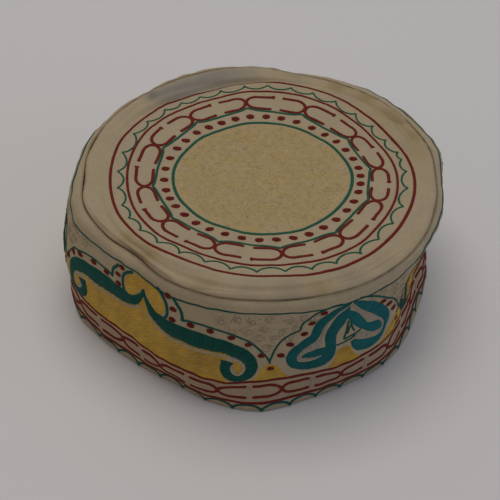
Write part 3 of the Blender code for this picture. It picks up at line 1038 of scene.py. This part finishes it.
sewn("band_red_lines", [cords(band_place, [round_band(UPPER_RED), round_band(LOWER_RED)], 2.2, 0.5, 41),
                        cords(band_place, band_links, 2.2, 0.55, 42)], red_thread)
sewn("band_link_bars", [cords(band_place, link_bars, 1.2, 0.4, 45)], pale_thread)
sewn("band_teal_lines", [cords(band_place, [top_line], 1.25, 0.4, 43),
                         cords(band_place, [round_band(hem_scallops)], 1.8, 0.45, 44)],
     teal_thread)


# The scroll motif: two long teal scrolls in satin stitch spring from a stem and curl under at their
# ends, over a ground of gold, with a gold bud on the stem, a pale outline and a dotted border.
# Points are across from the motif's middle and down from the seam; the third column is the width.
SCROLL_PLACES = ((230.3, -0.93, 1.0), (4.0, -1.06, 1.06), (146.4, -1.06, 1.06))
SCROLL = (
    (0.0, 14.5, 1.4), (1.5, 18.5, 2.8), (4.5, 22.8, 5.2), (9.0, 25.7, 7.6), (15.0, 27.1, 9.8),
    (24.0, 27.8, 10.8), (35.0, 28.6, 10.8), (45.0, 30.0, 9.3), (52.0, 34.0, 7.8), (55.8, 38.6, 6.8),
    (56.9, 43.5, 6.4), (55.2, 48.0, 6.0), (51.0, 50.4, 5.4), (47.0, 48.8, 5.2), (44.7, 45.2, 5.2),
    (44.5, 41.5, 5.8), (45.6, 38.8, 7.4),
)
SCROLL_BORDER = (
    (22.7, 20.3), (26.0, 19.2), (30.0, 19.2), (37.0, 19.2), (43.0, 19.9), (48.0, 21.7), (54.0, 25.2),
    (58.0, 29.3), (62.0, 34.8), (64.2, 38.6), (65.6, 42.2),
)
BUD = ((8.0, 8.2), (11.5, 10.2), (14.3, 13.5), (15.0, 17.5), (14.5, 21.0), (12.5, 24.0))
BUD_ARC = ((18.0, 9.0), (20.0, 11.5), (22.3, 14.5), (23.0, 18.0), (23.0, 20.5))
SCROLL_DOTS = (
    (15.4, 9.6), (18.3, 15.6), (17.9, 21.4), (27.5, 20.9), (37.5, 21.2), (47.5, 23.6), (55.3, 28.6),
    (61.5, 36.3),
)
BUD_GOLD = (
    (0.0, 8.0), (6.0, 8.4), (10.6, 10.6), (13.3, 14.2), (13.8, 18.0), (12.2, 21.5), (9.4, 23.4),
    (6.2, 21.4), (3.4, 17.6), (1.0, 14.2), (0.0, 14.0),
)
GROUND_GOLD = (
    (0.0, 20.0), (4.5, 24.5), (12.0, 28.5), (24.0, 29.5), (36.0, 29.5), (44.0, 31.0), (47.5, 33.5),
    (46.0, 36.5), (43.2, 38.5), (42.6, 44.0), (43.5, 48.0), (46.0, 52.6), (0.0, 52.6),
)
CURL_GOLD = (50.7, 41.8, 2.4, 4.4)
SATIN_PITCH = 0.48
GOLD_LEAN = -52.0        # the slant of the gold stitches
FADING = 0.06            # how unevenly they have faded, and over what length
FADING_SIZE = 9.0
# Darker places of the gold ground: direction, distance of cloth, radius and how dark
GOLD_SHADOWS = ((251.5, 41.0, 9.0, 0.22), (244.0, 48.0, 7.0, 0.14), (296.5, 47.0, 7.0, 0.14))
GOLD_ROW = 0.62          # between the rows of gold stitches
GOLD_STITCH = 4.2        # their length
GOLD_HEIGHT = 0.42
OUTLINE_GAP = 0.45       # between a scroll's edge and the pale line beside it
OUTLINE_REACH = (0.10, 0.97)     # where along the scroll that line starts and ends
DOT = 3.4


def satin(rows, height, seed, hand, shift):
    """A band of satin stitch: stitches across a smooth line through rows of x, y and width."""
    path = even_path(smooth_line(rows, 12), SATIN_PITCH)
    path[:, 0] = shift + hand * path[:, 0]
    side = side_of(path) * (path[:, 2:] / 2)
    return stitches(band_place, path[:, :2] - side, path[:, :2] + side, SATIN_PITCH * 1.35, height, seed, 7)


def moved(rows, hand, shift):
    """Pattern points mirrored if hand is -1 and shifted round the cap."""
    return np.array(rows, float) * (hand, 1.0) + (shift, 0.0)


def drawn(rows, hand, shift):
    """A smooth line through pattern points, mirrored and shifted as they are."""
    return moved(smooth_line(rows, 8), hand, shift)


def scroll_outline(hand, shift):
    """The line beside a scroll, on its lower side."""
    path = even_path(smooth_line(SCROLL, 12), 0.5)
    beside = path[:, :2] + side_of(path) * (path[:, 2:] / 2 + OUTLINE_GAP)
    first, last = (int(share * len(beside)) for share in OUTLINE_REACH)
    return moved(beside[first:last], hand, shift)


def gold_fill(outlines, seed):
    """Rows of flat gold stitches inside closed outlines: slanting lines, cut where they cross an
    outline, and laid in stitches of one length like bricks."""
    turn = np.radians(GOLD_LEAN)
    spin = np.array([[np.cos(turn), -np.sin(turn)], [np.sin(turn), np.cos(turn)]])
    starts, ends, edges = [], [], []
    for points in outlines:
        slanted = points @ spin
        edges.append(np.concatenate([slanted, np.roll(slanted, -1, axis=0)], axis=1))
    edges = np.concatenate(edges)
    low, high = edges[:, 1].min(), edges[:, 1].max()
    for number, level in enumerate(np.arange(low + GOLD_ROW / 2, high, GOLD_ROW)):
        x, y, next_x, next_y = edges[(edges[:, 1] > level) != (edges[:, 3] > level)].T
        at = np.sort(x + (level - y) / (next_y - y) * (next_x - x))
        for left, right in zip(at[::2], at[1::2]):
            first = np.floor(left / GOLD_STITCH) * GOLD_STITCH + (number * 0.37 % 1.0) * GOLD_STITCH
            cuts = np.arange(first - GOLD_STITCH, right + GOLD_STITCH, GOLD_STITCH)
            cuts = np.unique(np.clip(cuts, left, right))
            cuts = cuts[np.concatenate([[True], np.diff(cuts) > 0.3])] if len(cuts) > 1 else cuts
            starts.append(np.stack([cuts[:-1], np.full(len(cuts) - 1, level)], axis=-1))
            ends.append(np.stack([cuts[1:], np.full(len(cuts) - 1, level)], axis=-1))
    starts, ends = np.concatenate(starts) @ spin.T, np.concatenate(ends) @ spin.T
    sheet = stitches(band_place, starts, ends, GOLD_ROW * 1.25, GOLD_HEIGHT, seed)
    wear_and_shade = 1.0 + FADING * soft_waves(*starts.T, FADING_SIZE, seed)
    for direction, down, radius, dark in GOLD_SHADOWS:
        away = np.hypot(starts[:, 0] - direction * MM_A_DEGREE, starts[:, 1] - down)
        wear_and_shade -= dark * np.exp(-((away / radius) ** 2))
    return (*sheet[:3], sheet[3] * np.repeat(wear_and_shade, len(sheet[3]) // len(starts)))


def closed_shape(half, shift, left, right):
    """A closed outline from its right half, stretched to the left and the right of the middle."""
    return np.concatenate([moved(half, right, shift), moved(half, left, shift)[::-1]])


x, y, wide, high = CURL_GOLD
turn = np.linspace(0, 2 * np.pi, 20)[:-1]
curl_hole = np.stack([x + wide * np.cos(turn), y + high * np.sin(turn)], axis=-1)
scroll_parts, gold_parts, pale_paths, border_paths, bud_paths, dot_centres = [], [], [], [], [], []
for number, (centre, left, right) in enumerate(SCROLL_PLACES):
    shift = centre * MM_A_DEGREE
    outlines = [closed_shape(GROUND_GOLD, shift, left, right), closed_shape(BUD_GOLD, shift, left, right)]
    for hand in (left, right):
        scroll_parts.append(satin(SCROLL, 0.85, 50 + number, hand, shift))
        outlines.append(moved(curl_hole, hand, shift))
        pale_paths.append(scroll_outline(hand, shift))
        border_paths.append(drawn(SCROLL_BORDER, hand, shift))
        bud_paths += [drawn(BUD_ARC, hand, shift), drawn(BUD, hand, shift)]
        dot_centres.append(moved(SCROLL_DOTS, hand, shift))
    gold_parts.append(gold_fill(outlines, 60 + number))
sewn("band_scrolls", scroll_parts, teal_thread)


# The knot motif: teal bands run from the top round a lobe on the left, and down the right and back
# up inside, with pale channels worked between their turns, a small crooked arch in the middle and
# gold below. The one behind the wearer repeats the left half on both sides.
KNOT_LEFT = (
    ((-1.0, 9.4, 1.4), (-5.0, 11.4, 3.2), (-9.5, 14.4, 5.2), (-13.5, 18.4, 6.2), (-16.3, 23.0, 5.8),
     (-17.7, 27.5, 5.8), (-22.2, 30.5, 5.8), (-26.4, 34.2, 5.8), (-28.7, 39.0, 6.0), (-27.5, 44.2, 5.8),
     (-23.0, 46.8, 6.4), (-17.0, 46.8, 7.6), (-11.8, 45.0, 8.4), (-9.4, 40.0, 6.8), (-9.4, 35.0, 6.2),
     (-9.6, 30.0, 6.8), (-8.2, 25.5, 7.6), (-6.0, 21.5, 8.0), (-4.2, 17.5, 7.4), (-2.6, 14.4, 4.5),
     (-1.2, 12.0, 1.6)),
    ((-12.5, 38.7, 6.4), (-16.5, 38.6, 6.4), (-20.5, 38.8, 5.2), (-23.6, 39.2, 2.8)),
)
KNOT_LEFT_PALE = (
    ((-1.2, 11.0, 1.0), (-4.8, 13.7, 1.8), (-9.0, 17.0, 2.2), (-11.9, 21.0, 2.2), (-13.2, 25.5, 2.2),
     (-14.0, 30.0, 2.2), (-17.5, 33.6, 5.6), (-21.5, 34.8, 4.6), (-24.3, 37.5, 2.4), (-24.6, 41.0, 2.2),
     (-21.5, 42.6, 1.8), (-17.5, 41.9, 1.5), (-14.5, 41.0, 0.8)),
)
KNOT_LEFT_BORDER = (
    ((-5.0, 8.3), (-11.2, 9.0), (-16.5, 10.8), (-21.0, 14.0), (-24.0, 17.5), (-24.8, 21.3)),
    ((-24.8, 21.3), (-29.3, 23.6), (-33.8, 27.8), (-36.6, 33.4), (-38.8, 40.4)),
)
KNOT_LEFT_DOTS = ((-13.8, 12.0), (-19.3, 17.8), (-22.8, 24.2), (-29.5, 30.0), (-33.8, 37.0))
KNOT_RIGHT = (
    ((1.2, 10.2, 1.6), (5.5, 13.6, 5.0), (10.0, 17.4, 6.8), (14.2, 21.8, 7.0), (18.0, 26.8, 6.8),
     (21.2, 31.4, 5.8), (22.4, 35.4, 4.2), (22.2, 39.4, 3.2), (21.0, 42.6, 3.6), (18.4, 45.2, 5.8),
     (13.5, 46.0, 8.4), (8.8, 44.0, 8.6), (5.0, 40.6, 6.5), (2.4, 37.0, 2.8)),
    ((-2.0, 16.2, 4.2), (0.6, 18.8, 5.6), (3.7, 23.2, 6.4), (6.2, 27.4, 5.6), (8.9, 30.6, 4.8),
     (11.8, 32.9, 5.8), (14.4, 34.6, 7.2), (16.4, 36.0, 7.2), (17.8, 37.2, 5.2), (18.6, 38.0, 2.6)),
)
KNOT_RIGHT_PALE = (
    ((0.4, 11.8, 1.0), (2.9, 15.8, 1.8), (5.8, 19.6, 2.6), (8.6, 23.4, 4.0), (11.6, 26.8, 3.8),
     (14.7, 29.4, 2.4), (17.6, 31.8, 1.8), (19.4, 34.6, 1.6), (19.8, 38.2, 1.8), (18.4, 41.0, 2.2),
     (15.6, 41.0, 3.0), (12.4, 39.0, 3.8), (9.0, 36.4, 4.2), (5.8, 35.0, 3.4), (3.8, 35.0, 1.5)),
)
KNOT_RIGHT_BORDER = (
    ((4.0, 8.6), (9.0, 10.2), (14.0, 13.4), (18.5, 17.0), (21.5, 19.9)),
    ((21.5, 19.9), (25.5, 23.9), (29.0, 28.5), (31.5, 32.8), (33.6, 37.4)),
)
KNOT_RIGHT_DOTS = ((18.0, 19.8), (22.8, 25.4), (26.8, 31.2))
KNOT_ARCH = (
    ((-0.9, 21.5), (-1.3, 25.0), (-1.7, 29.5), (-2.6, 34.2)),
    ((-0.1, 25.0), (-0.8, 31.0)),
    ((-2.6, 34.4), (0.4, 33.5), (3.9, 32.6), (6.8, 31.6)),
    ((0.2, 22.4), (1.2, 26.8), (3.1, 31.0)),
    ((-6.6, 36.6), (-2.7, 36.4), (1.2, 35.2), (3.6, 33.4)),
)
KNOT_GOLD = (
    (-5.0, 41.0), (-2.0, 39.6), (1.2, 40.2), (2.6, 43.0), (3.8, 46.4), (6.2, 50.0), (8.8, 52.6),
    (-10.0, 52.6), (-8.2, 50.0), (-6.6, 47.0), (-6.2, 43.5),
)
LEFT_HALF = (KNOT_LEFT, KNOT_LEFT_PALE, KNOT_LEFT_BORDER, KNOT_LEFT_DOTS)
RIGHT_HALF = (KNOT_RIGHT, KNOT_RIGHT_PALE, KNOT_RIGHT_BORDER, KNOT_RIGHT_DOTS)
KNOT_PLACES = (
    (297.5, 1.0, LEFT_HALF), (297.5, 1.0, RIGHT_HALF), (75.2, 1.06, LEFT_HALF), (75.2, -1.06, LEFT_HALF),
)

knot_parts, right_parts, channel_parts = [], [], []
for number, (centre, hand, (teal, pale, border, knot_dots)) in enumerate(KNOT_PLACES):
    shift = centre * MM_A_DEGREE
    for rows in teal:
        own_parts = right_parts if teal is KNOT_RIGHT else knot_parts
        own_parts.append(satin(rows, 0.75, 70 + number, hand, shift))
    for rows in pale:
        channel_parts.append(satin(rows, 0.6, 74 + number, hand, shift))
    border_paths += [drawn(path, hand, shift) for path in border]
    dot_centres.append(moved(knot_dots, hand, shift))
for number, (centre, _, _) in enumerate(KNOT_PLACES[::2]):
    shift = centre * MM_A_DEGREE
    gold_parts.append(gold_fill([moved(KNOT_GOLD, 1, shift)], 78 + number))
    border_paths += [drawn(path, 1, shift) for path in KNOT_ARCH]
sewn("band_knots", knot_parts, deep_thread)
sewn("band_knot_right", right_parts, blue_thread)
sewn("band_channels", channel_parts, pale_thread)


# Between two motifs the borders meet in a point with a dot under it and a small gold wedge on the
# red line. Where two scroll motifs meet, behind the wearer, the strip's ends are joined.
MEETINGS = ((272.7, 1.0), (319.2, 1.6), (189.6, 1.0), (48.6, 1.0), (101.7, 1.0))
WEDGE = ((0.0, 42.6), (2.8, 43.2), (4.6, 45.4), (5.8, 48.6), (7.2, 51.2), (9.0, 52.6), (0.0, 52.6))
V_DOT = 45.2
for number, (direction, wide) in enumerate(MEETINGS):
    shift = direction * MM_A_DEGREE
    gold_parts.append(gold_fill([closed_shape(WEDGE, shift, -wide, wide)], 80 + number))
    dot_centres.append(np.array([(shift, V_DOT)]))
sewn("band_gold_ground", gold_parts, gold_thread)


# On the cream ground between the borders, faint curled sprays in a thread close to the cloth's colour
FIELD = ((-22.0, 14.0), (-15.0, 13.0), (-8.0, 14.5), (-1.0, 12.5), (7.0, 14.0), (15.0, 12.8), (22.0, 14.5),
         (-18.0, 20.0), (-10.0, 20.5), (-3.0, 19.0), (5.0, 20.5), (12.0, 19.5), (-6.0, 26.0), (1.5, 26.0),
         (8.0, 25.5), (-1.5, 32.0))
FIELD_SEEDS = 14         # loose stitches about each spray
field_sprays, field_seeds = [], []
draw = np.random.default_rng(34)
for direction, wide in MEETINGS:
    for x, y in FIELD:
        x, y = direction * MM_A_DEGREE + x + draw.uniform(-1, 1), y + draw.uniform(-1, 1)
        size, heading, hand = draw.uniform(3.6, 5.2), draw.uniform(0, 360), draw.choice([-1, 1])
        field_sprays.append(curl(x, y, size, heading, hand))
        field_seeds.append(np.array([x, y]) + draw.uniform(-3.6, 3.6, (FIELD_SEEDS, 2)) * (1.0, 0.8))
field_seeds = np.concatenate(field_seeds)
seed_headings = draw.uniform(0, np.pi, len(field_seeds))
seed_halves = 0.9 * np.stack([np.cos(seed_headings), np.sin(seed_headings)], axis=-1)
field_thread = thread("field thread", (0.35, 0.262, 0.160))
sewn("band_tonal_sprays", [cords(band_place, field_sprays, 0.5, 0.2, 94),
                           stitches(band_place, field_seeds - seed_halves, field_seeds + seed_halves,
                                    0.45, 0.22, 96)], field_thread)
sewn("band_pale_outlines", [cords(band_place, pale_paths, 1.8, 0.62, 90)], pale_thread)
sewn("band_borders", [cords(band_place, border_paths, 1.35, 0.45, 91),
                      cords(band_place, bud_paths, 2.2, 0.55, 93)], teal_thread)
sewn("band_red_dots", [dots(band_place, np.concatenate(dot_centres), DOT, 0.75, 92)],
     red_thread)


# The inside is plain: the cotton is turned up over the hem and held by one row of machine stitches.
HEM_STITCH = 3.0
HEM_STITCH_HEIGHT = 11.0


def inside_band(x, y, lift):
    """A place on the band's inner side, x round the cap and y up from the hem."""
    directions = x / MM_A_DEGREE
    return on_band(directions, length_at(directions) - y, -CLOTH - HEM_STEP - lift)


stitch_at = np.arange(0, AROUND, HEM_STITCH)
starts = np.stack([stitch_at, np.full(len(stitch_at), HEM_STITCH_HEIGHT)], axis=-1)
ends = starts + np.array([HEM_STITCH * 0.72, 0.0])
sewn("hem_stitches", [stitches(inside_band, starts, ends, 0.5, 0.35, 95)], pale_thread)


# The studio: a pale floor, a soft warm light from above, and weak cool and warm ones round the cap.
floor_mesh = bpy.data.meshes.new("floor")
FLOOR_HALF = 3.0
corners = [(FLOOR_HALF * x, FLOOR_HALF * y, 0) for x, y in ((-1, -1), (1, -1), (1, 1), (-1, 1))]
floor_mesh.from_pydata(corners, [], [(0, 1, 2, 3)])
floor = bpy.data.objects.new("floor", floor_mesh)
bpy.context.scene.collection.objects.link(floor)
paper = bpy.data.materials.new("pale paper")
paper.use_nodes = True
sheen = paper.node_tree.nodes["Principled BSDF"].inputs
sheen["Base Color"].default_value = (0.80, 0.77, 0.74, 1.0)
sheen["Roughness"].default_value = 0.9
floor_mesh.materials.append(paper)
floor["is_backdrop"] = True

world = bpy.data.worlds.new("room")
world.use_nodes = True
air = world.node_tree.nodes["Background"].inputs
air["Color"].default_value = (0.86, 0.88, 1.0, 1.0)
air["Strength"].default_value = 0.22
bpy.context.scene.world = world


LIT_PLACE = Vector((0, 0, 0.04))


def soft_light(name, place, size, power, colour):
    """A square area light at a place, turned to the cap's middle."""
    data = bpy.data.lights.new(name, "AREA")
    data.size = size
    data.energy = power
    data.color = colour
    lamp = bpy.data.objects.new(name, data)
    lamp.location = place
    lamp.rotation_euler = (LIT_PLACE - Vector(place)).to_track_quat("-Z", "Y").to_euler()
    bpy.context.scene.collection.objects.link(lamp)


soft_light("window", (-0.1, 0.3, 2.0), 1.5, 15.0, (1.0, 0.965, 0.885))
soft_light("cool fill", (1.6, -0.7, 0.8), 1.2, 3.6, (0.42, 0.60, 1.0))
soft_light("warm fill", (-1.6, -0.7, 0.8), 1.2, 1.0, (1.0, 0.66, 0.3))
soft_light("cool back", (-0.6, 1.8, 0.9), 1.0, 1.2, (0.50, 0.64, 1.0))

CAMERA_TARGET = (-0.00121, -0.02115, 0.040)
CAMERA_ELEVATION = 43.0
CAMERA_DISTANCE = 0.700
camera_data = bpy.data.cameras.new("camera")
camera_data.lens = 100.8
camera_data.sensor_width = 36.0
camera = bpy.data.objects.new("camera", camera_data)
rise = np.radians(CAMERA_ELEVATION)
back = Vector((0.0, -np.cos(rise), np.sin(rise)))
camera.location = Vector(CAMERA_TARGET) + CAMERA_DISTANCE * back
camera.rotation_euler = (-back).to_track_quat("-Z", "Y").to_euler()
bpy.context.scene.collection.objects.link(camera)
bpy.context.scene.camera = camera
bpy.context.scene.view_settings.view_transform = "Standard"

low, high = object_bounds()
